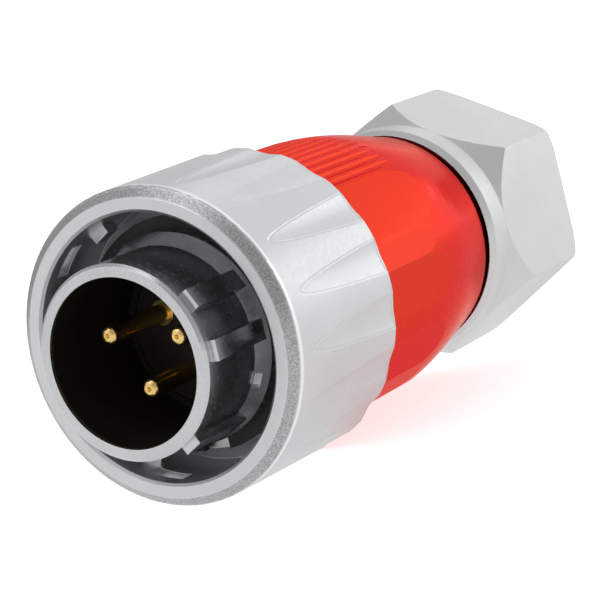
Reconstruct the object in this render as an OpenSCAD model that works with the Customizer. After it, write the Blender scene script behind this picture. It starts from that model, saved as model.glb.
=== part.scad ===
// Three-pole push-pull circular power connector, cable plug half.
// Frame: millimetres, the axis runs along +Y from the barrel's front rim (y = 0) to the clamp
// nut, +Z is up, +X is to the right of somebody who looks along +Y.

/* [Coupling sleeve] */
// The sleeve's lip stands this far behind the barrel's rim
lip_setback = 5.5; // [3:0.1:8]
// Length of the sleeve
sleeve_length = 19.7; // [18:0.1:24]
// Outer diameter at the rear edge, the connector's largest
sleeve_d = 33.7; // [32:0.1:37]
// The diameter is this much smaller behind the front bevel
sleeve_taper = 0.7; // [0.3:0.1:1]
// Wall round the bore, behind the front bevel
sleeve_wall = 2.55; // [2.3:0.05:3]
// Wall of the skirt that runs over the back shell
skirt_wall = 1.05; // [0.9:0.05:1.3]
// Width of the flat lip
lip_w = 1.45; // [1:0.05:2]
// Length of the bevel between the lip and the body
lip_bevel = 0.9; // [0.4:0.1:1.6]
// How far the sleeve is pulled back to unlatch
sleeve_travel = 3.0; // [2:0.1:3.6]
// Number of flutes round the sleeve
flute_count = 18; // [10:1:20]
// Radius of a flute's hollow
flute_r = 6.0; // [4:0.1:10]
// Depth of a flute at the rear edge
flute_depth = 0.4; // [0.2:0.05:0.5]
// A flute's tip lies this far behind the lip
flute_tip = 3.4; // [2:0.1:6]
// Thickness of the inner flange that the spring pushes on
flange_t = 2.0; // [1.2:0.1:2.4]
// Length of the cone on the flange's front
flange_cone = 1.5; // [0.5:0.1:1.6]
// Latch lugs in the bore
lug_count = 3; // [2:1:4]
// The lugs lie this far behind the lip
lug_setback = 4.6; // [4:0.1:5]
// How far a lug stands into the bore
lug_h = 0.85; // [0.4:0.05:1.2]
// Width of a lug round the bore
lug_w = 2.1; // [1:0.1:3]
// Length of a lug along the axis
lug_l = 1.9; // [1:0.1:2.4]
// Width of the milled pocket beside each lug
pocket_w = 4.0; // [2:0.1:5]
// Depth of that pocket into the wall
pocket_depth = 0.5; // [0.2:0.05:0.6]
// Length of that pocket, which starts as far behind the lip
pocket_l = 1.7; // [1:0.1:2]

/* [Plug shell] */
// Wall of the barrel
barrel_wall = 1.3; // [0.8:0.1:1.4]
// The base cone starts this far behind the rim
base_setback = 8.4; // [6:0.1:9]
// Length of the base cone
base_cone = 1.4; // [0.6:0.1:1.6]
// The shell behind that cone stands out from the barrel by this
base_step = 1.1; // [0.9:0.05:1.4]
// Width and depth of the index notch in the base cone
index_w = 1.6; // [1:0.1:2]
// Height of the keys on the barrel
key_h = 0.8; // [0.4:0.05:0.9]
// Width of the keys
key_w = 2.1; // [1.2:0.1:3]
// The keys stop this far behind the rim
key_setback = 0.9; // [0.4:0.1:2]
// Groove of the stop ring, behind the lip
stop_groove_setback = 6.2; // [5.8:0.1:6.6]
// Thickness of the stop ring
stop_ring_t = 0.9; // [0.6:0.1:1.1]
// The stop ring stands out from the shell by this
stop_ring_h = 1.3; // [1:0.05:1.6]
// How deep the stop ring sits in the shell
stop_groove_depth = 0.6; // [0.3:0.05:0.8]
// Width of the opening in the stop ring
stop_ring_gap = 3.2; // [2:0.1:5]
// Width of the collar's face that carries the spring
collar_w = 2.5; // [2.2:0.05:2.8]
// Thickness of the collar
collar_t = 1.2; // [0.8:0.1:2]
// Width of the collar's face that the gasket lies on
gasket_w = 1.6; // [1.3:0.05:2]
// Length of the thread that the back shell screws on to
shell_thread_l = 9.5; // [6:0.1:12]
// Wall between that thread and the insulators
thread_wall = 2.6; // [2.2:0.1:2.8]
// Height of the inner lip that stops the insulators
inner_lip_h = 1.4; // [1.1:0.05:1.7]
// Thickness of the inner lip
inner_lip_t = 1.2; // [0.8:0.1:2]

/* [Sleeve spring] */
// Length of the spring in the assembled connector
spring_l = 7.0; // [6.4:0.1:8]
// Wire diameter
spring_wire = 0.9; // [0.6:0.05:1.0]
// Number of coils
spring_coils = 3.5; // [2.5:0.5:4]
// Thickness of the washer behind the spring
spring_washer_t = 0.4; // [0.3:0.05:0.6]

/* [Contacts and insulators] */
// Diameter of the contact pins
pin_d = 2.0; // [1.5:0.05:2.4]
// Diameter of a pin's shank inside the insulator
shank_d = 2.7; // [2.5:0.05:2.9]
// The pins' tips lie this far behind the rim
tip_setback = 3.8; // [1:0.1:6]
// Depth of the insulator's face behind the rim
face_setback = 13.5; // [11:0.1:13.8]
// The inner lip starts this far behind the insulator's face
lip_to_face = 0.5; // [0.2:0.1:1]
// Length of the front insulator behind the inner lip
front_body_l = 8.0; // [6.5:0.1:9]
// Length of the rear insulator
rear_body_l = 6.0; // [4:0.1:7]
// Thickness of the insulators' lock ring
lock_ring_t = 2.0; // [1.2:0.1:2.4]
// Width of the lock ring's face
lock_ring_w = 1.8; // [1.4:0.1:2.2]
// Width of the lock ring's spanner slots
lock_slot_w = 1.6; // [1:0.1:2]
// Diameter of a pin's collar
pin_collar_d = 3.5; // [3.3:0.1:3.9]
// Length of a pin's collar
pin_collar_l = 1.8; // [1:0.1:2.4]
// Diameter of a pin's wire cup
cup_d = 3.1; // [2.9:0.05:3.2]
// Bore of the wire cup
cup_bore_d = 2.1; // [1.6:0.05:2.2]
// Depth of the wire cup's bore
cup_depth = 6.5; // [4:0.1:8]
// The wire cups reach this far behind the lock ring
cup_reach = 5.0; // [4:0.1:7]
// Diameter of the wire screws
screw_d = 1.6; // [1.2:0.05:1.8]
// Cord diameter of the insulator's O-ring
o_ring_cord = 1.1; // [0.8:0.05:1.3]

/* [Back shell] */
// Length of the back shell in front of its neck
back_l = 30.2; // [28:0.1:34]
// The rear taper takes up this much of that length
taper_l = 18.3; // [14:0.1:20]
// Radius of the curve that leads into the taper
shoulder_r = 56; // [40:1:80]
// Length of that curve
shoulder_l = 11.2; // [8:0.1:13]
// Chamfer at the back shell's rear edge
rear_chamfer = 0.35; // [0.2:0.05:0.8]
// Gasket between the plug shell and the back shell
gasket_t = 0.4; // [0.3:0.05:1]
// Depth of the grip grooves
groove_depth = 0.3; // [0.1:0.05:0.35]
// Radius of the grip grooves
groove_r = 0.55; // [0.4:0.05:0.7]
// Grip grooves in each panel
groove_count = 12; // [4:1:12]
// Angle from one groove to the next
groove_step = 4.2; // [4:0.1:4.4]
// The neck's thread is set in from the rear edge by this
neck_step = 0.99; // [0.7:0.01:1.4]
// Length of the neck
neck_l = 11.9; // [10:0.1:13]
// Wall of the neck round the gland seat
neck_wall = 1.6; // [1.3:0.1:2]
// The gland seat reaches this far in front of the neck
gland_seat = 0.9; // [0.4:0.1:2]
// Width of the shoulder that the seal rests on
seat_w = 1.9; // [1.4:0.1:2.6]
// Length of the wire passage in front of that shoulder
passage_l = 2.7; // [2:0.1:4]

/* [Cable gland] */
// Hole of the seal, for the cable
cable_d = 11.0; // [8:0.1:12]
// Length of the seal
seal_l = 8.5; // [6:0.1:9]
// Depth of the grooves between the seal's three bands
seal_groove = 0.6; // [0.3:0.05:0.8]
// Thickness of the gland washer
gland_washer_t = 0.8; // [0.5:0.1:1.2]
// The washer's and the claw's bore stands off the cable by this
claw_clear = 1.1; // [0.8:0.1:1.4]
// Thickness of the claw's flange
claw_flange_t = 0.8; // [0.5:0.1:1.2]
// Length of the claw's fingers
finger_l = 5.5; // [4:0.1:5.6]
// Number of fingers
finger_count = 8; // [4:1:10]
// Width of the slits between the fingers
slit_w = 1.2; // [0.6:0.1:2]

/* [Clamp nut] */
// Wall between the nut's bore and its flats
nut_wall = 1.2; // [1:0.05:1.6]
// Gap between the back shell and the nut's mouth
mouth_gap = 0.9; // [0.5:0.1:2]
// Overall length of the nut
nut_l = 20.5; // [20:0.1:22]
// Length of the round band in front of the flats
band_l = 3.8; // [2:0.1:5]
// Length of the cone between the band and the corners
nut_cone = 4.4; // [2:0.1:6]
// Radius of the rounded rear edge
rear_round = 1.6; // [0.8:0.1:2.4]
// Thickness of the rear wall
rear_wall = 2.6; // [2:0.1:3]
// Width of the rear wall's rim round the cable hole
rear_rim = 4.3; // [3.6:0.1:5]
// Length of the lead-in at the nut's mouth
mouth_lead = 1.2; // [0.8:0.1:2]
// Wall of the cone ring at its wide end
cone_wall = 0.5; // [0.4:0.05:0.7]
// How much the cone ring narrows to its other end, all round
cone_fall = 2.3; // [1.8:0.1:2.6]

/* [Fits] */
// Gap between pieces that move on each other
slide_gap = 0.3; // [0.2:0.05:0.4]
// Gap between threads that are drawn as plain cylinders
thread_gap = 0.1; // [0.05:0.05:0.2]
// Gap round pieces that are pushed into a bore
fit_gap = 0.05; // [0.02:0.01:0.1]
// End gap between the nut and the cone ring
thrust_gap = 0.1; // [0.05:0.05:0.2]

/* [Output] */
// Which piece to show

/* [Hidden] */
$fn = 96;
eps = 0.02;
edge = 0.3;                     // small edge break on turned pieces
far = 60;                       // longer or wider than any piece it cuts

key_angles = [28.5, -1.2, -61];                 // where the barrel's keys stand
lug_angles = [for (i = [0 : lug_count - 1]) 119 + i * 360 / lug_count];
pocket_turn = 15;                               // from a lug to its pocket
pins_at = [[-4.2, 1.8], [4.2, 1.8], [0, -3.6]];  // the contact pattern before its turn
pins_turn = -8;                                 // the pattern's turn about the axis
flute_turn = -90;                               // one flute points straight down
index_angle = -30;                              // the index notch in the base cone
grip_angles = [68, 248];                        // middles of the grooved grip panels
// middle of each flat from the middle of the grip panel, and half its width
flats = [[39.5, 13.5], [60.1, 5.6], [75.6, 9.9]];

// radii of the sleeve, then of what stands in it, each from the one that it fits
rear_r = sleeve_d / 2;
front_r = rear_r - sleeve_taper / 2;
sleeve_bore_r = front_r - sleeve_wall;
skirt_r = rear_r - skirt_wall;
back_r = skirt_r - slide_gap;
collar_r = sleeve_bore_r - slide_gap - fit_gap;
shell_r = collar_r - collar_w;
flange_r = shell_r + slide_gap;
spring_r = (flange_r + sleeve_bore_r) / 2 - slide_gap / 2;
stop_ring_r = shell_r + stop_ring_h;
barrel_r = shell_r - base_step;
thread_r = collar_r - gasket_w;
bore_r = thread_r - thread_wall;
inner_lip_r = bore_r - inner_lip_h;

// stations along the axis, measured from the barrel's rim
lip_y = lip_setback;
sleeve_end_y = lip_y + sleeve_length;
stop_y = lip_y + stop_groove_setback;
flange_y = stop_y + stop_ring_t + slide_gap;
spring_y = flange_y + flange_t;
washer_y = spring_y + spring_l;
collar_y = washer_y + spring_washer_t;
gasket_y = collar_y + collar_t;
back_y = gasket_y + gasket_t;
shell_end_y = gasket_y + shell_thread_l;
skirt_y = back_y - sleeve_travel - slide_gap;
inner_lip_y = face_setback + lip_to_face;
body_y = inner_lip_y + inner_lip_t;
joint_y = body_y + front_body_l;
ring_y = joint_y + rear_body_l;
cup_end_y = ring_y + lock_ring_t + cup_reach;
taper_y = back_y + back_l - taper_l;
back_end_y = back_y + back_l;
neck_end_y = back_end_y + neck_l;
seat_y = back_end_y - gland_seat;
gland_washer_y = seat_y + seal_l;
claw_y = gland_washer_y + gland_washer_t;
finger_y = neck_end_y + claw_flange_t;
finger_end_y = finger_y + finger_l;
nut_y = back_end_y + mouth_gap;
nut_end_y = nut_y + nut_l;
wall_y = nut_end_y - rear_wall;
cone_end_y = wall_y - thrust_gap;
cone_y = finger_y + slide_gap / 2;

// outline of the back shell: straight, then a large arc, then a straight taper to the rear edge
function shoulder(t) = [back_r - shoulder_r + sqrt(shoulder_r * shoulder_r - t * t), taper_y + t];
taper_end_r = shoulder(shoulder_l)[0]
    - (taper_l - shoulder_l - rear_chamfer) * shoulder_l / sqrt(pow(shoulder_r, 2) - pow(shoulder_l, 2));

// radii of the gland and the nut, which follow from the back shell's rear edge
neck_r = taper_end_r - neck_step;
gland_r = neck_r - neck_wall;
claw_r = cable_d / 2 + claw_clear;
nut_bore_r = neck_r + slide_gap;
flat_r = nut_bore_r + nut_wall;
corner_r = flat_r / cos(30);
cone_ring_r = nut_bore_r - slide_gap;

// ---------------------------------------------------------------- helpers
// local z runs along the connector's axis
module on_axis() rotate([-90, 0, 0]) children();
// turned to an angle about the axis: 0 is +X, 90 is +Z
module at(deg) rotate([0, 0, -deg]) children();
module turned(points) rotate_extrude() polygon(points);
module tube(r_out, r_in, y0, y1) translate([0, 0, y0]) difference() {
    cylinder(r = r_out, h = y1 - y0);
    translate([0, 0, -eps]) cylinder(r = r_in, h = y1 - y0 + 2 * eps);
}
// a block that reaches from radius r0 to r1, w wide, from y0 to y1
module block(r0, r1, w, y0, y1) translate([r0, -w / 2, y0]) cube([r1 - r0, w, y1 - y0]);

function turn2(p, a) = [p[0] * cos(a) - p[1] * sin(a), p[0] * sin(a) + p[1] * cos(a)];

// ---------------------------------------------------------------- coupling sleeve
// sleeve radius at a station, on the straight taper behind the bevel
function sleeve_r(y) = front_r
    + (rear_r - front_r) * (y - lip_y - lip_bevel) / (sleeve_length - lip_bevel);

// one flute: a round cutter that leans outwards to the front, so the hollow runs out in a tip;
// it is kept to a block as wide as the hollow, so that neighbours don't meet outside the sleeve
module flute() {
    run = sleeve_length - flute_tip;
    lean = atan((flute_depth - (sleeve_r(sleeve_end_y) - sleeve_r(lip_y + flute_tip))) / run);
    hollow_w = 2 * sqrt(2 * flute_depth * flute_r) + 4 * slide_gap;
    intersection() {
        translate([sleeve_r(sleeve_end_y) - flute_depth + flute_r, 0, sleeve_end_y])
            rotate([0, lean, 0]) translate([0, 0, -sleeve_length]) cylinder(r = flute_r, h = far);
        block(front_r - 4 * flute_depth, rear_r + flute_depth, hollow_w,
              lip_y, sleeve_end_y + flute_depth);
    }
}

module coupling_sleeve() color([0.74, 0.75, 0.76]) on_axis() {
    difference() {
        turned([[sleeve_bore_r + edge, lip_y], [sleeve_bore_r + lip_w, lip_y],
                [front_r, lip_y + lip_bevel], [rear_r, sleeve_end_y - edge],
                [rear_r - edge, sleeve_end_y], [skirt_r, sleeve_end_y],
                [skirt_r, skirt_y], [sleeve_bore_r, skirt_y], [sleeve_bore_r, spring_y],
                [flange_r, spring_y], [flange_r, flange_y], [stop_ring_r, flange_y],
                [sleeve_bore_r, flange_y + flange_cone], [sleeve_bore_r, lip_y + edge]]);
        for (i = [0 : flute_count - 1]) at(flute_turn + i * 360 / flute_count) flute();
        for (a = lug_angles) at(a + pocket_turn)
            block(sleeve_bore_r - lug_h, sleeve_bore_r + pocket_depth, pocket_w,
                  lip_y + pocket_l, lip_y + 2 * pocket_l);
    }
    for (a = lug_angles) at(a)
        block(sleeve_bore_r - lug_h, sleeve_bore_r + lug_h / 2, lug_w,
              lip_y + lug_setback, lip_y + lug_setback + lug_l);
}

// ---------------------------------------------------------------- plug shell
module plug_shell() color([0.66, 0.67, 0.69]) on_axis() difference() {
    union() {
        turned([[barrel_r - barrel_wall, 0], [barrel_r - edge, 0], [barrel_r, edge],
                [barrel_r, base_setback], [shell_r, base_setback + base_cone],
                [shell_r, collar_y], [collar_r, collar_y], [collar_r, gasket_y],
                [thread_r, gasket_y], [thread_r, shell_end_y - edge],
                [thread_r - edge, shell_end_y], [bore_r, shell_end_y], [bore_r, body_y],
                [inner_lip_r, body_y], [inner_lip_r, inner_lip_y],
                [barrel_r - barrel_wall, inner_lip_y]]);
        for (a = key_angles) at(a)
            block(barrel_r - barrel_wall / 2, barrel_r + key_h, key_w, key_setback,
                  base_setback + base_cone);
    }
    tube(far, shell_r - stop_groove_depth, stop_y, stop_y + stop_ring_t);
    at(index_angle)
        block(barrel_r + fit_gap, far, index_w, base_setback - eps, base_setback + base_cone / 2);
}

module sleeve_stop_ring() color([0.12, 0.12, 0.13]) on_axis() difference() {
    tube(stop_ring_r, shell_r - stop_groove_depth, stop_y, stop_y + stop_ring_t);
    at(-90) block(0, far, stop_ring_gap, stop_y - eps, stop_y + stop_ring_t + eps);
}

// ---------------------------------------------------------------- sleeve spring
// round wire swept along a helix, eight sides
module sleeve_spring() color([0.55, 0.56, 0.58]) on_axis() {
    wire_r = spring_wire / 2;
    y0 = spring_y + wire_r + fit_gap;
    rise = spring_l - spring_wire - 2 * fit_gap;
    steps = ceil(spring_coils * 20);
    sides = 8;
    rings = [for (i = [0 : steps]) let (t = i / steps, a = t * spring_coils * 360)
        for (j = [0 : sides - 1]) let (b = j * 360 / sides, r = spring_r + wire_r * cos(b))
            [r * cos(a), r * sin(a), y0 + t * rise + wire_r * sin(b)]];
    skin = [for (i = [0 : steps - 1], j = [0 : sides - 1]) let (k = (j + 1) % sides)
        [i * sides + j, (i + 1) * sides + j, (i + 1) * sides + k, i * sides + k]];
    first = [[for (j = [0 : sides - 1]) j]];
    last = [[for (j = [0 : sides - 1]) steps * sides + sides - 1 - j]];
    polyhedron(points = rings, faces = concat(skin, first, last), convexity = 8);
}

module spring_washer() color([0.5, 0.51, 0.53]) on_axis()
    tube(collar_r - fit_gap, shell_r + fit_gap, washer_y, collar_y);

// ---------------------------------------------------------------- insulators
function pin_xy(i) = turn2(pins_at[i], pins_turn);
module at_pin(i) translate([pin_xy(i)[0], -pin_xy(i)[1], 0]) children();
// a hole through an insulator for each contact
module pin_holes(d, y0, y1) for (i = [0 : 2]) at_pin(i) translate([0, 0, y0])
    cylinder(r = d / 2 + fit_gap, h = y1 - y0);

module front_insulator() color([0.12, 0.1, 0.09]) on_axis() difference() {
    turned([[0, face_setback], [inner_lip_r - fit_gap - edge, face_setback],
            [inner_lip_r - fit_gap, face_setback + edge], [inner_lip_r - fit_gap, body_y],
            [bore_r - fit_gap, body_y], [bore_r - fit_gap, joint_y], [0, joint_y]]);
    pin_holes(shank_d, face_setback - eps, joint_y + eps);
    pin_holes(pin_collar_d, joint_y - pin_collar_l, joint_y + eps);
    o_ring_groove();
}
// the groove is as deep as the O-ring's cord, less its seat in the bore
module o_ring_groove() tube(far, bore_r - o_ring_cord - fit_gap, o_ring_y() - 0.75 * o_ring_cord,
                            o_ring_y() + 0.75 * o_ring_cord);
function o_ring_y() = body_y + front_body_l / 3;

module insulator_o_ring() color([0.08, 0.08, 0.08]) on_axis() translate([0, 0, o_ring_y()])
    rotate_extrude() translate([bore_r - fit_gap / 2 - o_ring_cord / 2, 0])
        circle(r = o_ring_cord / 2 - fit_gap / 4, $fn = 32);

module rear_insulator() color([0.14, 0.12, 0.11]) on_axis() difference() {
    translate([0, 0, joint_y]) cylinder(r = bore_r - fit_gap, h = rear_body_l);
    pin_holes(cup_d, joint_y - eps, ring_y + eps);
}

module insulator_lock_ring() color([0.6, 0.6, 0.6]) on_axis() difference() {
    tube(bore_r - thread_gap, bore_r - lock_ring_w, ring_y, ring_y + lock_ring_t);
    // spanner slots
    for (a = [0, 180]) at(a)
        block(0, far, lock_slot_w, ring_y + lock_ring_t / 2, ring_y + lock_ring_t + eps);
}

// ---------------------------------------------------------------- contacts
// angle from the axis out to a contact, where its wire screw is reached
function out_angle(i) = atan2(pin_xy(i)[1], pin_xy(i)[0]);
function screw_y() = cup_end_y - cup_depth / 2;

module contact(i) color([0.83, 0.66, 0.3]) on_axis() at_pin(i) difference() {
    tip = pin_d * 0.31;         // radius of the rounded tip
    turned(concat([[0, tip_setback]],
        [for (a = [0 : 18 : 90]) [pin_d / 2 - tip * (1 - sin(a)), tip_setback + tip * (1 - cos(a))]],
        [[pin_d / 2, face_setback], [shank_d / 2, face_setback],
         [shank_d / 2, joint_y - pin_collar_l], [pin_collar_d / 2, joint_y - pin_collar_l],
         [pin_collar_d / 2, joint_y], [cup_d / 2, joint_y], [cup_d / 2, cup_end_y],
         [0, cup_end_y]]));
    translate([0, 0, cup_end_y - cup_depth]) cylinder(r = cup_bore_d / 2, h = cup_depth + eps);
    // centre mark in the tip
    translate([0, 0, tip_setback - eps]) cylinder(r1 = pin_d / 8, r2 = pin_d / 30, h = pin_d / 5);
    at(out_angle(i)) translate([0, 0, screw_y()]) rotate([0, 90, 0])
        cylinder(r = screw_d / 2 + fit_gap, h = cup_d);
}
module contact_pin_1() contact(0);
module contact_pin_2() contact(1);
module contact_pin_3() contact(2);

module wire_screws() color([0.7, 0.7, 0.68]) on_axis() for (i = [0 : 2]) at_pin(i)
    at(out_angle(i)) translate([0, 0, screw_y()]) rotate([0, 90, 0]) difference() {
        translate([0, 0, cup_bore_d / 2 - slide_gap]) cylinder(r = screw_d / 2, h = cup_d / 2);
        translate([-screw_d / 8, -screw_d, cup_bore_d / 2 + cup_d / 2 - 2 * slide_gap])
            cube([screw_d / 4, 2 * screw_d, cup_d]);
    }

// ---------------------------------------------------------------- back shell
module body_gasket() color([0.1, 0.1, 0.1]) on_axis()
    tube(collar_r, thread_r + thread_gap, gasket_y, back_y);

module back_shell() color([0.85, 0.13, 0.08]) on_axis() difference() {
    turned(concat(
        [[thread_r + thread_gap, back_y], [back_r - edge, back_y], [back_r, back_y + edge]],
        [for (t = [0 : 8]) shoulder(t * shoulder_l / 8)],
        [[taper_end_r, back_end_y - rear_chamfer], [taper_end_r - rear_chamfer, back_end_y],
         [neck_r, back_end_y], [neck_r, neck_end_y - edge], [neck_r - edge, neck_end_y],
         [gland_r, neck_end_y], [gland_r, seat_y], [gland_r - seat_w, seat_y],
         [gland_r - seat_w, seat_y - passage_l], [thread_r + thread_gap, taper_y + shoulder_l]]));
    // gripping flats, mirrored about both grip panels
    for (g = grip_angles, s = [-1, 1], f = flats) at(g + s * f[0])
        block(back_r * cos(f[1]), far, far, back_y - eps, back_end_y);
    // grooves of the two grip panels
    for (g = grip_angles, i = [0 : groove_count - 1])
        at(g + (i - (groove_count - 1) / 2) * groove_step)
            translate([back_r - groove_depth + groove_r, 0, back_y - eps])
                cylinder(r = groove_r, h = back_l, $fn = 24);
}

// ---------------------------------------------------------------- cable gland
module gland_seal() color([0.09, 0.09, 0.1]) on_axis() difference() {
    tube(gland_r - fit_gap, cable_d / 2, seat_y, gland_washer_y);
    // grooves that leave three sealing bands on the outside
    for (k = [1, 2]) translate([0, 0, k * seal_l / 3])
        tube(far, gland_r - seal_groove, seat_y - seal_l / 16, seat_y + seal_l / 16);
}

module gland_washer() color([0.85, 0.85, 0.82]) on_axis()
    tube(gland_r - fit_gap, claw_r, gland_washer_y, claw_y);

// radius of the cone ring's inside at a station
function cone_r(y) = cone_ring_r - cone_wall - cone_fall * (y - cone_y) / (cone_end_y - cone_y);

module clamp_claw() color([0.88, 0.88, 0.85]) on_axis() difference() {
    turned([[claw_r, claw_y], [gland_r - thread_gap, claw_y], [gland_r - thread_gap, neck_end_y],
            [neck_r - edge, neck_end_y], [neck_r - edge, finger_y],
            [cone_r(finger_y) - slide_gap - fit_gap, finger_y],
            [cone_r(finger_end_y) - slide_gap - fit_gap, finger_end_y], [claw_r, finger_end_y]]);
    for (i = [0 : finger_count - 1]) at(i * 360 / finger_count)
        block(0, far, slit_w, finger_y + slide_gap, finger_end_y + eps);
}

module clamp_cone_ring() color([0.7, 0.66, 0.5]) on_axis()
    turned([[cone_r(cone_y), cone_y], [cone_ring_r, cone_y],
            [cone_ring_r, cone_end_y], [cone_r(cone_end_y), cone_end_y]]);

// ---------------------------------------------------------------- clamp nut
module nut_outside() intersection() {
    at(30) translate([0, 0, nut_y]) cylinder(r = corner_r, h = nut_l, $fn = 6);
    turned(concat(
        [[0, nut_y], [flat_r - 2 * edge, nut_y], [flat_r - edge / 3, nut_y + 3 * edge],
         [flat_r, nut_y + band_l], [corner_r + edge / 3, nut_y + band_l + nut_cone]],
        [for (a = [0 : 15 : 90]) [corner_r + edge / 3 - rear_round * (1 - cos(a)),
                                  nut_end_y - rear_round * (1 - sin(a))]],
        [[0, nut_end_y]]));
}

module clamp_nut() color([0.78, 0.79, 0.8]) on_axis() difference() {
    nut_outside();
    exit_r = nut_bore_r - rear_rim;
    turned([[0, nut_y - eps], [nut_bore_r + 2 * edge + eps, nut_y - eps],
            [nut_bore_r, nut_y + mouth_lead], [nut_bore_r, wall_y], [exit_r, wall_y],
            [exit_r, nut_end_y - 2 * edge], [exit_r + 2 * edge + eps, nut_end_y + eps],
            [0, nut_end_y + eps]]);
}

// ---------------------------------------------------------------- assembly
plug_shell();
coupling_sleeve();
sleeve_spring();
sleeve_stop_ring();
spring_washer();
front_insulator();
rear_insulator();
insulator_lock_ring();
insulator_o_ring();
contact_pin_1();
contact_pin_2();
contact_pin_3();
wire_screws();
body_gasket();
back_shell();
gland_seal();
gland_washer();
clamp_claw();
clamp_cone_ring();
clamp_nut();
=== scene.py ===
"""Looks of the push-pull circular power connector plug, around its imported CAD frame.

The frame is the part's own: the axis runs along +Y from the barrel's rim to the clamp nut, and
+Z is up. Blender works in metres. Sizes below are in millimetres, unless a comment says metres.
"""
import math
from types import SimpleNamespace

import bmesh
import bpy
from mathutils import Matrix, Vector


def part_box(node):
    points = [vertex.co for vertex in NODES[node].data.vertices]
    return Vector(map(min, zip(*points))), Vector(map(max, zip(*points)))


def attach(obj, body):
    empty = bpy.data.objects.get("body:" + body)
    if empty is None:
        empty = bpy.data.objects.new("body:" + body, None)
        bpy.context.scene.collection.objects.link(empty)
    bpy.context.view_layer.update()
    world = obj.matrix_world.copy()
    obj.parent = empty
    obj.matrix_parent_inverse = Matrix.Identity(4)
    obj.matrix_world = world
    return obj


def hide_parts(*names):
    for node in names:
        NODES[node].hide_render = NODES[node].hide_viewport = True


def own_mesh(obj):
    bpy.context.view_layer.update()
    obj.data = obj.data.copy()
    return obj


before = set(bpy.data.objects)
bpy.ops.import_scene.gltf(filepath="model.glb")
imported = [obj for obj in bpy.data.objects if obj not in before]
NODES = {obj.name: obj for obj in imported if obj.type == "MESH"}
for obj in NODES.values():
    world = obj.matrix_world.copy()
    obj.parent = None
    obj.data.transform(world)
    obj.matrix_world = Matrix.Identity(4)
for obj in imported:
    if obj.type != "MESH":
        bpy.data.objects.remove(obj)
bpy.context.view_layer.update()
SCENE = bpy.context.scene
MM = 0.001                      # one millimetre in metres
WHITE = (1.0, 1.0, 1.0, 1.0)

# the sleeve's flutes
FLUTE_COUNT = 18
FLUTE_PITCH = 2 * math.pi / FLUTE_COUNT
FIRST_FLUTE = math.radians(-90)
FLUTE_TIP = 8.9                 # the flutes' tips lie this far along the axis
FLUTE_END = 25.2                # and their deep ends, at the sleeve's rear edge
FLUTE_DEPTH = 0.4               # depth at the deep end
FLUTE_BEND = 0.11345            # depth lost per squared millimetre across a flute

# Where a zone of a finish, a painted highlight or painted shade fades in and out: stations
# along the axis (Y) and radii from it (R). Each pair is where the fade starts and stops.
WALL_R_IN = (16.1, 16.25)       # the sleeve's fluted wall
WALL_Y_OUT = (24.85, 24.9)
BEVEL_Y_IN, BEVEL_Y_OUT = (5.52, 5.62), (6.25, 6.38)    # its coarse front bevel
BEVEL_R_IN = (15.3, 15.4)
EDGE_HIGHLIGHT_Y_IN, EDGE_HIGHLIGHT_Y_OUT = (6.33, 6.45), (6.7, 7.0)        # painted highlight: a lighter band on the edge behind the bevel
EDGE_HIGHLIGHT_R_IN = (16.2, 16.3)
BORE_SHADE_R_OUT = (8.75, 8.85)       # painted shade: the barrel's inside made near-black, from just behind its rim
BORE_SHADE_Y_IN = (0.25, 0.4)

# the fine line round each flute
LINE_WIDTH = 0.13               # how far it reaches to either side
LINE_DEPTH = 0.035


def node_size(name):
    """(lowest, highest) corner of a CAD node in millimetres."""
    low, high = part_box(name)
    return low / MM, high / MM


def mesh_object(name, verts, faces, smooth=True):
    """A mesh object from points in millimetres."""
    mesh = bpy.data.meshes.new(name)
    mesh.from_pydata([(x * MM, y * MM, z * MM) for x, y, z in verts], [], faces)
    mesh.validate()
    bm = bmesh.new()
    bm.from_mesh(mesh)
    bmesh.ops.recalc_face_normals(bm, faces=bm.faces)
    bm.to_mesh(mesh)
    bm.free()
    for polygon in mesh.polygons:
        polygon.use_smooth = smooth
    obj = bpy.data.objects.new(name, mesh)
    SCENE.collection.objects.link(obj)
    return obj


def skinned(name, rings, joined=False, smooth=True):
    """A closed mesh object through rings of equally many points, each ring joined to the next.
    The first and the last ring are capped, or joined to each other."""
    n = len(rings[0])
    starts = [i * n for i in range(len(rings))]
    caps = [tuple(reversed(range(n))), tuple(range(starts[-1], starts[-1] + n))]
    if joined:
        starts.append(0)
        caps = []
    faces = [(a + j, a + (j + 1) % n, b + (j + 1) % n, b + j)
             for a, b in zip(starts, starts[1:]) for j in range(n)]
    return mesh_object(name, [point for ring in rings for point in ring], faces + caps, smooth)


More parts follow.
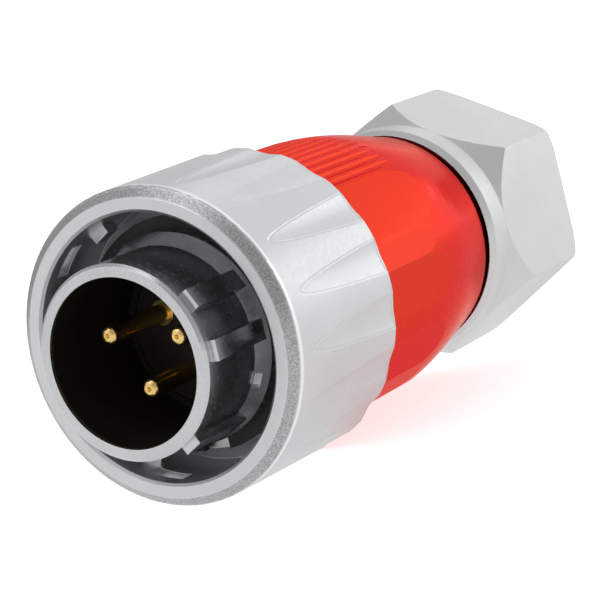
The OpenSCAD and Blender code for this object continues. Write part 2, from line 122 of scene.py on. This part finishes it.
# ---------------------------------------------------------------- materials
class Nodes:
    """A node tree built in short calls: most of them add a node and return one of its outputs."""

    def __init__(self, owner):
        """Start on the emptied tree of a material or a world."""
        owner.use_nodes = True
        self.tree = owner.node_tree
        self.tree.nodes.clear()

    def fill(self, socket, value):
        """Link the socket if the value is another socket, else set its constant."""
        if isinstance(value, bpy.types.NodeSocket):
            self.tree.links.new(value, socket)
        else:
            socket.default_value = value

    def add(self, kind, inputs=None, out=0, **props):
        node = self.tree.nodes.new(kind)
        for key, value in props.items():
            setattr(node, key, value)
        for key, value in (inputs or {}).items():
            self.fill(node.inputs[key], value)
        return node.outputs[out]

    def surface(self, kind, shader):
        """The output node, which takes the finished shader."""
        node = self.tree.nodes.new(kind)
        self.fill(node.inputs["Surface"], shader)

    def math(self, op, a, b=0.0, clamp=False):
        return self.add("ShaderNodeMath", {0: a, 1: b}, operation=op, use_clamp=clamp)

    def product(self, first, *others):
        for other in others:
            first = self.math("MULTIPLY", first, other)
        return first

    def length(self, a, b):
        """Square root of the sum of two squares."""
        return self.math("SQRT", self.math("ADD", self.product(a, a), self.product(b, b)))

    def places(self):
        """Object coordinates in millimetres (mm as a vector, x, y), and the radius r and the
        angle turn round the axis."""
        metres = self.add("ShaderNodeTexCoord", out="Object")
        mm = self.add("ShaderNodeVectorMath", {0: metres, "Scale": 1 / MM}, operation="SCALE")
        split = self.tree.nodes.new("ShaderNodeSeparateXYZ")
        self.fill(split.inputs[0], mm)
        x, y, z = split.outputs
        return SimpleNamespace(mm=mm, x=x, y=y, r=self.length(x, z),
                               turn=self.math("ARCTAN2", z, x))

    def noise(self, vec, scale, detail=3.0, rough=0.55):
        return self.add("ShaderNodeTexNoise",
                        {"Vector": vec, "Scale": scale, "Detail": detail, "Roughness": rough})

    def spread(self, fac, low, high, start=0.25, stop=0.75, **props):
        """The factor from start to stop, spread over low to high."""
        return self.add("ShaderNodeMapRange", {"Value": fac, "From Min": start, "From Max": stop,
                                               "To Min": low, "To Max": high}, **props)

    def fade_in(self, fac, pair):
        return self.spread(fac, 0.0, 1.0, *pair)

    def fade_out(self, fac, pair):
        return self.spread(fac, 1.0, 0.0, *pair)

    def mix(self, fac, a, b):
        """Two colours mixed. The sockets go by index, because A and B exist for every data type."""
        return self.add("ShaderNodeMix", {0: fac, 6: a, 7: b}, out=2, data_type="RGBA")

    def ray(self, kind):
        return self.add("ShaderNodeLightPath", out=kind)


def shade(colour, factor):
    return tuple(min(1.0, value * factor) for value in colour) + (1.0,)


def flute_lines(n, at):
    """Height in millimetres of the fine line that runs round each flute of the sleeve."""
    wall = n.product(n.fade_in(at.r, WALL_R_IN), n.fade_out(at.y, WALL_Y_OUT))
    angle = n.add("ShaderNodeMath", {0: at.turn, 1: FLUTE_PITCH, 2: 0.0}, operation="WRAP")
    across = n.product(n.math("SUBTRACT", angle, FLUTE_PITCH / 2), at.r)
    rise = n.product(across, across, FLUTE_BEND)
    deep = n.spread(at.y, 0.0, FLUTE_DEPTH, FLUTE_TIP, FLUTE_END, clamp=False)
    # the hollow's depth over its own slope is about the distance from the flute's edge
    slope = n.math("ADD", n.product(n.math("ABSOLUTE", across), 2 * FLUTE_BEND), 0.05)
    away = n.math("ABSOLUTE", n.math("DIVIDE", n.math("SUBTRACT", deep, rise), slope))
    line = n.spread(away, -LINE_DEPTH, 0.0, 0.0, LINE_WIDTH, interpolation_type="SMOOTHSTEP")
    return n.product(line, wall)


def worn_edges(n, edge_normal, dents, wear):
    """Factor of the polish on edges, which is where the bevelled normal leaves the plain one."""
    plain_normal = n.add("ShaderNodeNewGeometry", out="Normal")
    cosine = n.add("ShaderNodeVectorMath", {0: edge_normal, 1: plain_normal}, out="Value",
                   operation="DOT_PRODUCT")
    edge = n.product(n.fade_out(cosine, (0.86, 0.995)), wear)
    return n.math("MULTIPLY", edge, n.spread(dents, 0.5, 1.0), clamp=True)


def front_of_sleeve(n, at, base, colour):
    """Base colour with the sleeve's bevel left coarse and dark, and a painted highlight on the edge
    behind it.
    """
    bevelled = n.product(n.fade_in(at.y, BEVEL_Y_IN), n.fade_out(at.y, BEVEL_Y_OUT),
                         n.fade_in(at.r, BEVEL_R_IN))
    specks = n.spread(n.noise(at.mm, 6.0, 2.0, 0.8), 0.0, 1.0, 0.42, 0.58)
    darkness = n.math("ADD", n.product(specks, 0.5), 0.25)
    base = n.mix(n.product(bevelled, darkness), base, shade(colour, 0.3))
    # painted highlight: a lighter band of base colour on the rounded edge behind the bevel, where
    # it reflects the bright top
    ring = n.product(n.fade_in(at.y, EDGE_HIGHLIGHT_Y_IN), n.fade_out(at.y, EDGE_HIGHLIGHT_Y_OUT),
                     n.fade_in(at.r, EDGE_HIGHLIGHT_R_IN))
    return n.mix(ring, base, shade(colour, 1.38))


def finish(name, colour, rough, metal=0.0, grain=0.35, depth=0.004, mottle=0.08,
           rough_spread=0.06, lathe=0.0, lathe_depth=0.004, wear=0.0, bevel=0.08, fluted=False,
           painted_bore_shade=False, **sockets):
    """A procedural finish. grain is the size of its small dents in millimetres and depth theirs,
    lathe the distance between turning marks and lathe_depth theirs, mottle how much the colour
    varies and wear how much the edges are polished. fluted adds the sleeve's flute lines, its
    dark bevel and a painted highlight behind the bevel; the bore flag paints near-black shade
    into the barrel's inside."""
    material = bpy.data.materials.new(name)
    n = Nodes(material)
    at = n.places()
    blotches = n.noise(at.mm, 0.12, 2.0)
    dents = n.noise(at.mm, 1.0 / grain, 4.0, 0.6)
    base = n.mix(n.spread(blotches, 0.0, 1.0), shade(colour, 1 - mottle),
                 shade(colour, 1 + mottle))
    base = n.mix(n.spread(dents, 0.0, 0.5), base, shade(colour, 1 - mottle * 1.5))
    edge_normal = n.add("ShaderNodeBevel", {"Radius": bevel * MM}, samples=6)
    if wear:
        base = n.mix(worn_edges(n, edge_normal, dents, wear), base, shade(colour, 1.35))
    height = n.product(dents, depth * MM)
    roughness = n.spread(n.noise(at.mm, 2.2), rough - rough_spread, rough + rough_spread)
    metallic = metal
    if lathe:
        rings = n.add("ShaderNodeCombineXYZ", {"X": n.product(at.r, 1.0 / lathe),
                                               "Y": n.product(at.y, 1.0 / lathe),
                                               "Z": n.product(at.turn, 0.35)})
        marks = n.noise(rings, 1.0, 2.0, 0.7)
        height = n.math("ADD", height, n.product(marks, lathe_depth * MM))
        roughness = n.math("ADD", roughness, n.spread(marks, -0.03, 0.05))
    if fluted:
        height = n.math("ADD", height, n.product(flute_lines(n, at), MM))
        base = front_of_sleeve(n, at, base, colour)
    if painted_bore_shade:
        # painted shade: the barrel's inside turned near-black and non-metallic, for the shade in
        # its recess
        bore_shade_mask = n.product(n.fade_out(at.r, BORE_SHADE_R_OUT), n.fade_in(at.y, BORE_SHADE_Y_IN))
        base = n.mix(bore_shade_mask, base, (0.014, 0.010, 0.007, 1.0))
        metallic = n.math("SUBTRACT", metal, bore_shade_mask, clamp=True)
        roughness = n.spread(bore_shade_mask, roughness, 0.4, 0.0, 1.0)
    normal = n.add("ShaderNodeBump", {"Height": height, "Normal": edge_normal, "Distance": 1.0,
                                      "Strength": 1.0})
    inputs = {"Base Color": base, "Roughness": roughness, "Normal": normal, "Metallic": metallic}
    inputs.update((key.replace("_", " "), value) for key, value in sockets.items())
    n.surface("ShaderNodeOutputMaterial", n.add("ShaderNodeBsdfPrincipled", inputs))
    return material


MATERIALS = {
    "satin": finish("satin_nickel", (0.67, 0.68, 0.69), 0.36, metal=1.0, grain=0.28, depth=0.006,
                    mottle=0.04, wear=0.5, bevel=0.1, fluted=True),
    # the turned shell, with painted shade in the barrel's inside
    "shell": finish("turned_nickel", (0.60, 0.605, 0.62), 0.22, metal=1.0, grain=0.5,
                    depth=0.001, lathe=0.12, lathe_depth=0.0012, wear=0.5, painted_bore_shade=True),
    "nut": finish("light_nickel", (0.71, 0.72, 0.725), 0.46, metal=1.0, grain=0.3, depth=0.005,
                  mottle=0.04, wear=0.4, bevel=0.14),
    "red": finish("red_anodised", (0.76, 0.050, 0.024), 0.27, metal=1.0, grain=0.5, depth=0.0008,
                  mottle=0.03, rough_spread=0.02, bevel=0.12,
                  Specular_Tint=(1.0, 0.3, 0.22, 1.0), Coat_Weight=0.25, Coat_Roughness=0.12),
    "gold": finish("gold_plate", (0.86, 0.60, 0.22), 0.2, metal=1.0, grain=0.2, depth=0.001,
                   lathe=0.08, lathe_depth=0.001, wear=0.3, bevel=0.05),
    "insulator": finish("dark_resin", (0.022, 0.013, 0.008), 0.42, grain=0.25, mottle=0.2),
    "rubber": finish("black_rubber", (0.022, 0.022, 0.022), 0.62, grain=0.2, depth=0.006,
                     mottle=0.2, Sheen_Weight=0.15),
    "nylon": finish("natural_nylon", (0.72, 0.71, 0.66), 0.45, grain=0.3, depth=0.003,
                    mottle=0.04, Subsurface_Weight=0.1),
    "brass": finish("turned_brass", (0.72, 0.55, 0.27), 0.3, metal=1.0, grain=0.4, depth=0.002,
                    lathe=0.15, lathe_depth=0.002),
    "steel": finish("drawn_steel", (0.52, 0.52, 0.53), 0.28, metal=1.0, grain=0.3, depth=0.002,
                    lathe=0.2),
    "black_steel": finish("phosphated_steel", (0.035, 0.035, 0.037), 0.5, metal=0.6, grain=0.2,
                          mottle=0.25),
}
FINISH_OF = {
    "plug_shell": "shell", "coupling_sleeve": "satin", "sleeve_stop_ring": "black_steel",
    "spring_washer": "steel", "front_insulator": "insulator", "rear_insulator": "insulator",
    "insulator_lock_ring": "shell", "insulator_o_ring": "rubber", "contact_pin_1": "gold",
    "contact_pin_2": "gold", "contact_pin_3": "gold", "wire_screws": "steel",
    "body_gasket": "rubber", "back_shell": "red", "gland_seal": "rubber",
    "gland_washer": "nylon", "clamp_claw": "nylon", "clamp_cone_ring": "brass",
    "clamp_nut": "nut",
}
for node_name, key in FINISH_OF.items():
    for material_slot in NODES[node_name].material_slots:
        material_slot.material = MATERIALS[key]


# ---------------------------------------------------------------- the sleeve's spring
SPRING_WIRE_R = 0.45
SPRING_COILS = 3.5


def spring(name, radius, wire, start, stop, coils, sides=14, per_turn=48):
    """Round wire along a helix round the axis, with an even pitch up to both ends, which are cut
    square to the wire like the CAD spring's."""
    steps = int(coils * per_turn)
    rings = []
    for i in range(steps + 1):
        t = i / steps
        a = -t * coils * 2 * math.pi
        y = start + t * (stop - start)
        ring = []
        for j in range(sides):
            b = 2 * math.pi * j / sides
            r = radius + wire * math.cos(b)
            ring.append((r * math.cos(a), y + wire * math.sin(b), r * math.sin(a)))
        rings.append(ring)
    return skinned(name, rings)


spring_low, spring_high = node_size("sleeve_spring")
spring_obj = spring("sleeve_spring_wire", spring_high.z - SPRING_WIRE_R, SPRING_WIRE_R,
                    spring_low.y + SPRING_WIRE_R, spring_high.y - SPRING_WIRE_R, SPRING_COILS)
spring_obj.data.materials.append(MATERIALS["steel"])
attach(spring_obj, "plug_body")
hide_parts("sleeve_spring")
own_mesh(spring_obj)


# ---------------------------------------------------------------- the sleeve's fluted face
FACE_START = (16.15, 0.66)      # radius, and distance behind the lip, where it leaves the bevel
FACE_CORNER = (16.51, 0.9)      # the bevel's end, with the face 0.01 above the CAD wall
FACE_REAR_GAP = 0.3             # it stops this far before the sleeve's rear edge
FACE_STEPS = 84                 # rings of points along the wall
# points from a flute's middle to its edge, closer together where the hollow ends, and from there
# to halfway to the next flute
IN_FLUTE = (0.0, 0.25, 0.5, 0.75, 0.9, 0.97, 1.0)
BETWEEN_FLUTES = (0.03, 0.15, 0.5)
HALF_WIDTH_MIN = 0.02           # keeps the points apart where there is no hollow
FACE_UNDER = 0.4                # its inside lies this far under the deepest hollow
FACE_LEAN = 0.01                # how far the inside's ends draw in


def fluted_face(name, bevel_start, bevel_end, rear, count, first):
    """A closed thin shell on the sleeve's outer wall whose flutes run out in a tip behind the
    bevel. The (radius, station) points are the bevel's last stretch and the rear edge."""
    stations = [bevel_start, (bevel_start[0] + 0.1, bevel_start[1] + 0.025),
                (bevel_end[0] - 0.03, bevel_end[1] - 0.025), (bevel_end[0], bevel_end[1] + 0.03)]
    for i in range(1, FACE_STEPS + 1):
        t = i / FACE_STEPS
        stations.append(tuple(a + (b - a) * t for a, b in zip(bevel_end, rear)))
    pitch = 2 * math.pi / count
    rings = []
    for radius, y in stations:
        deep = max(0.0, FLUTE_DEPTH * (y - FLUTE_TIP) / (FLUTE_END - FLUTE_TIP))
        half = max(HALF_WIDTH_MIN, math.sqrt(deep / FLUTE_BEND)) / radius
        offsets = [half * k for k in IN_FLUTE]
        offsets += [half + (pitch / 2 - half) * k for k in BETWEEN_FLUTES]
        ring = []
        for c in range(count):
            centre = first + c * pitch
            for o in [-k for k in reversed(offsets)] + offsets[1:] + [pitch / 2]:
                r = radius - max(0.0, deep - FLUTE_BEND * (o * radius) ** 2)
                ring.append((r * math.cos(centre + o), y, r * math.sin(centre + o)))
        rings.append(ring)
    start_r = stations[0][0]
    outline = rings[0]
    for (radius, y), lean in ((stations[-1], -FACE_LEAN), (stations[0], FACE_LEAN)):
        inner_r = min(start_r, radius - FLUTE_DEPTH) - FACE_UNDER
        inner = []
        for x, _, z in outline:
            k = inner_r / math.hypot(x, z)
            inner.append((x * k, y + lean, z * k))
        rings.append(inner)
    return skinned(name, rings, joined=True)


sleeve_low, sleeve_high = node_size("coupling_sleeve")
face = fluted_face("sleeve_fluted_face", (FACE_START[0], sleeve_low.y + FACE_START[1]),
                   (FACE_CORNER[0], sleeve_low.y + FACE_CORNER[1]),
                   (sleeve_high.x, sleeve_high.y - FACE_REAR_GAP), FLUTE_COUNT, FIRST_FLUTE)
face.data.materials.append(MATERIALS["satin"])
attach(face, "sleeve")


# ---------------------------------------------------------------- the neck's thread
NECK_R = 12.0
THREAD_HEIGHT = 0.22
THREAD_PITCH = 1.5
THREAD_ROOT_SINK = 0.06         # how far the ridge's foot is sunk in the neck
THREAD_START_GAP = 0.6          # behind the nut's mouth
THREAD_STOP_GAP = 0.9           # before the neck's end


def thread(name, root, crest, start, stop, pitch, per_turn=72):
    """A single right-handed thread ridge on a cylinder round the axis, run out at both ends."""
    turns = (stop - start) / pitch
    steps = int(turns * per_turn)
    foot, foot_half, crest_half = root - THREAD_ROOT_SINK, pitch * 0.42, pitch * 0.08
    rings = []
    for i in range(steps + 1):
        t = i / steps
        a = -2 * math.pi * turns * t
        y = start + (stop - start) * t
        fade = min(1.0, t * turns * 2, (1 - t) * turns * 2)
        top = root + (crest - root) * fade
        profile = ((foot, -foot_half), (top, -crest_half), (top, crest_half), (foot, foot_half))
        rings.append([(r * math.cos(a), y + dy, r * math.sin(a)) for r, dy in profile])
    return skinned(name, rings, smooth=False)


nut_low, nut_high = node_size("clamp_nut")
neck_end = node_size("back_shell")[1].y
neck = thread("neck_thread", NECK_R, NECK_R + THREAD_HEIGHT, nut_low.y + THREAD_START_GAP,
              neck_end - THREAD_STOP_GAP, THREAD_PITCH)
neck.data.materials.append(MATERIALS["red"])
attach(neck, "plug_body")


# ---------------------------------------------------------------- floor
FLOOR_HALF = 900.0
FLOOR_MIDDLE_Y = 40.0           # station of the object's middle
FLOOR_GLOW = (0.73, 0.85)       # glow near the object, and where no lamp reaches
FLOOR_GLOW_FROM = (60.0, 160.0)
FLOOR_MIRRORED = 0.55           # glow that glossy surfaces see
NUT_ROUNDING = 1.6              # the nut's lowest corner ends this far before its rear


def floor_material():
    """Pale floor that looks white where it is lit and keeps the object's shadow."""
    material = bpy.data.materials.new("pale_floor")
    n = Nodes(material)
    at = n.places()
    seen = n.math("MAXIMUM", n.ray("Is Camera Ray"), n.ray("Is Transmission Ray"))
    # the part of the floor that no lamp reaches glows more, so that its far edge doesn't show
    away = n.length(at.x, n.math("SUBTRACT", at.y, FLOOR_MIDDLE_Y))
    strength = n.math("MAXIMUM", n.product(seen, n.spread(away, *FLOOR_GLOW, *FLOOR_GLOW_FROM)),
                      n.product(n.ray("Is Glossy Ray"), FLOOR_MIRRORED))
    matt = n.add("ShaderNodeBsdfDiffuse", {"Color": (0.86, 0.86, 0.86, 1.0)})
    glow = n.add("ShaderNodeEmission", {"Color": WHITE, "Strength": strength})
    n.surface("ShaderNodeOutputMaterial", n.add("ShaderNodeAddShader", {0: matt, 1: glow}))
    return material


# it touches the sleeve's rear edge and the nut's lowest corner
floor_slope = (nut_low.z - sleeve_low.z) / (nut_high.y - NUT_ROUNDING - sleeve_high.y)
floor = mesh_object("floor", [(x, sleeve_high.y + y, sleeve_low.z + floor_slope * y)
                              for x, y in ((-FLOOR_HALF, -FLOOR_HALF), (FLOOR_HALF, -FLOOR_HALF),
                                           (FLOOR_HALF, FLOOR_HALF), (-FLOOR_HALF, FLOOR_HALF))],
                    [(0, 1, 2, 3)], smooth=False)
floor.data.materials.append(floor_material())


# ---------------------------------------------------------------- camera
# its place in metres and its own directions, as fitted to the photograph
CAMERA_PLACE = Vector((0.132084, -0.16679, 0.028508))
RIGHT = Vector((0.826302, 0.509488, -0.240096))
UP = Vector((0.135301, 0.234245, 0.962716))
BACK = Vector((0.546734, -0.82798, 0.124623))

camera = bpy.data.objects.new("camera", bpy.data.cameras.new("camera"))
SCENE.collection.objects.link(camera)
camera.matrix_world = (Matrix.Translation(CAMERA_PLACE)
                       @ Matrix((RIGHT, UP, BACK)).transposed().to_4x4())
camera.data.lens = 132.0
camera.data.sensor_width = 36.0
camera.data.clip_start = 0.01
SCENE.camera = camera


# ---------------------------------------------------------------- light
LAMP_AIM = Vector((0.0, 0.03, 0.0))
# place from the aim along the camera's right, up and back directions, and size, both in metres,
# and power in watts
LAMPS = {
    "top": ((0.19, 0.41, -0.275), 0.5, 0.38),
    "right": ((0.50, 0.08, -0.20), 0.6, 0.94),
    "back": ((-0.03, 0.30, -0.62), 0.4, 0.13),
    "left": ((-0.50, 0.08, 0.12), 0.4, 0.30),
    "front": ((-0.32, 0.30, 0.30), 0.3, 0.36),
}
SKY_LIGHT = 0.25                # the world's strength as a light, where 1 is white
SKY_MIRRORED = 0.5              # and its strength as glossy surfaces see it


def lamp(name, where, size, power):
    """A soft square area lamp turned to the aim."""
    data = bpy.data.lights.new(name, "AREA")
    data.shape = "SQUARE"
    data.size = size
    data.energy = power
    obj = bpy.data.objects.new(name, data)
    SCENE.collection.objects.link(obj)
    offset = RIGHT * where[0] + UP * where[1] + BACK * where[2]
    obj.location = LAMP_AIM + offset
    obj.rotation_euler = (-offset).to_track_quat("-Z", "Y").to_euler()


for lamp_name, (where, size, power) in LAMPS.items():
    lamp(lamp_name, where, size, power)

SCENE.world = bpy.data.worlds.new("studio")
sky = Nodes(SCENE.world)
directly = sky.math("MAXIMUM", sky.ray("Is Camera Ray"), sky.ray("Is Transmission Ray"))
mirrored = sky.product(sky.ray("Is Glossy Ray"), SKY_MIRRORED)
strength = sky.math("MAXIMUM", directly, sky.math("MAXIMUM", mirrored, SKY_LIGHT))
sky.surface("ShaderNodeOutputWorld",
            sky.add("ShaderNodeBackground", {"Color": WHITE, "Strength": strength}))

SCENE.view_settings.view_transform = "Standard"
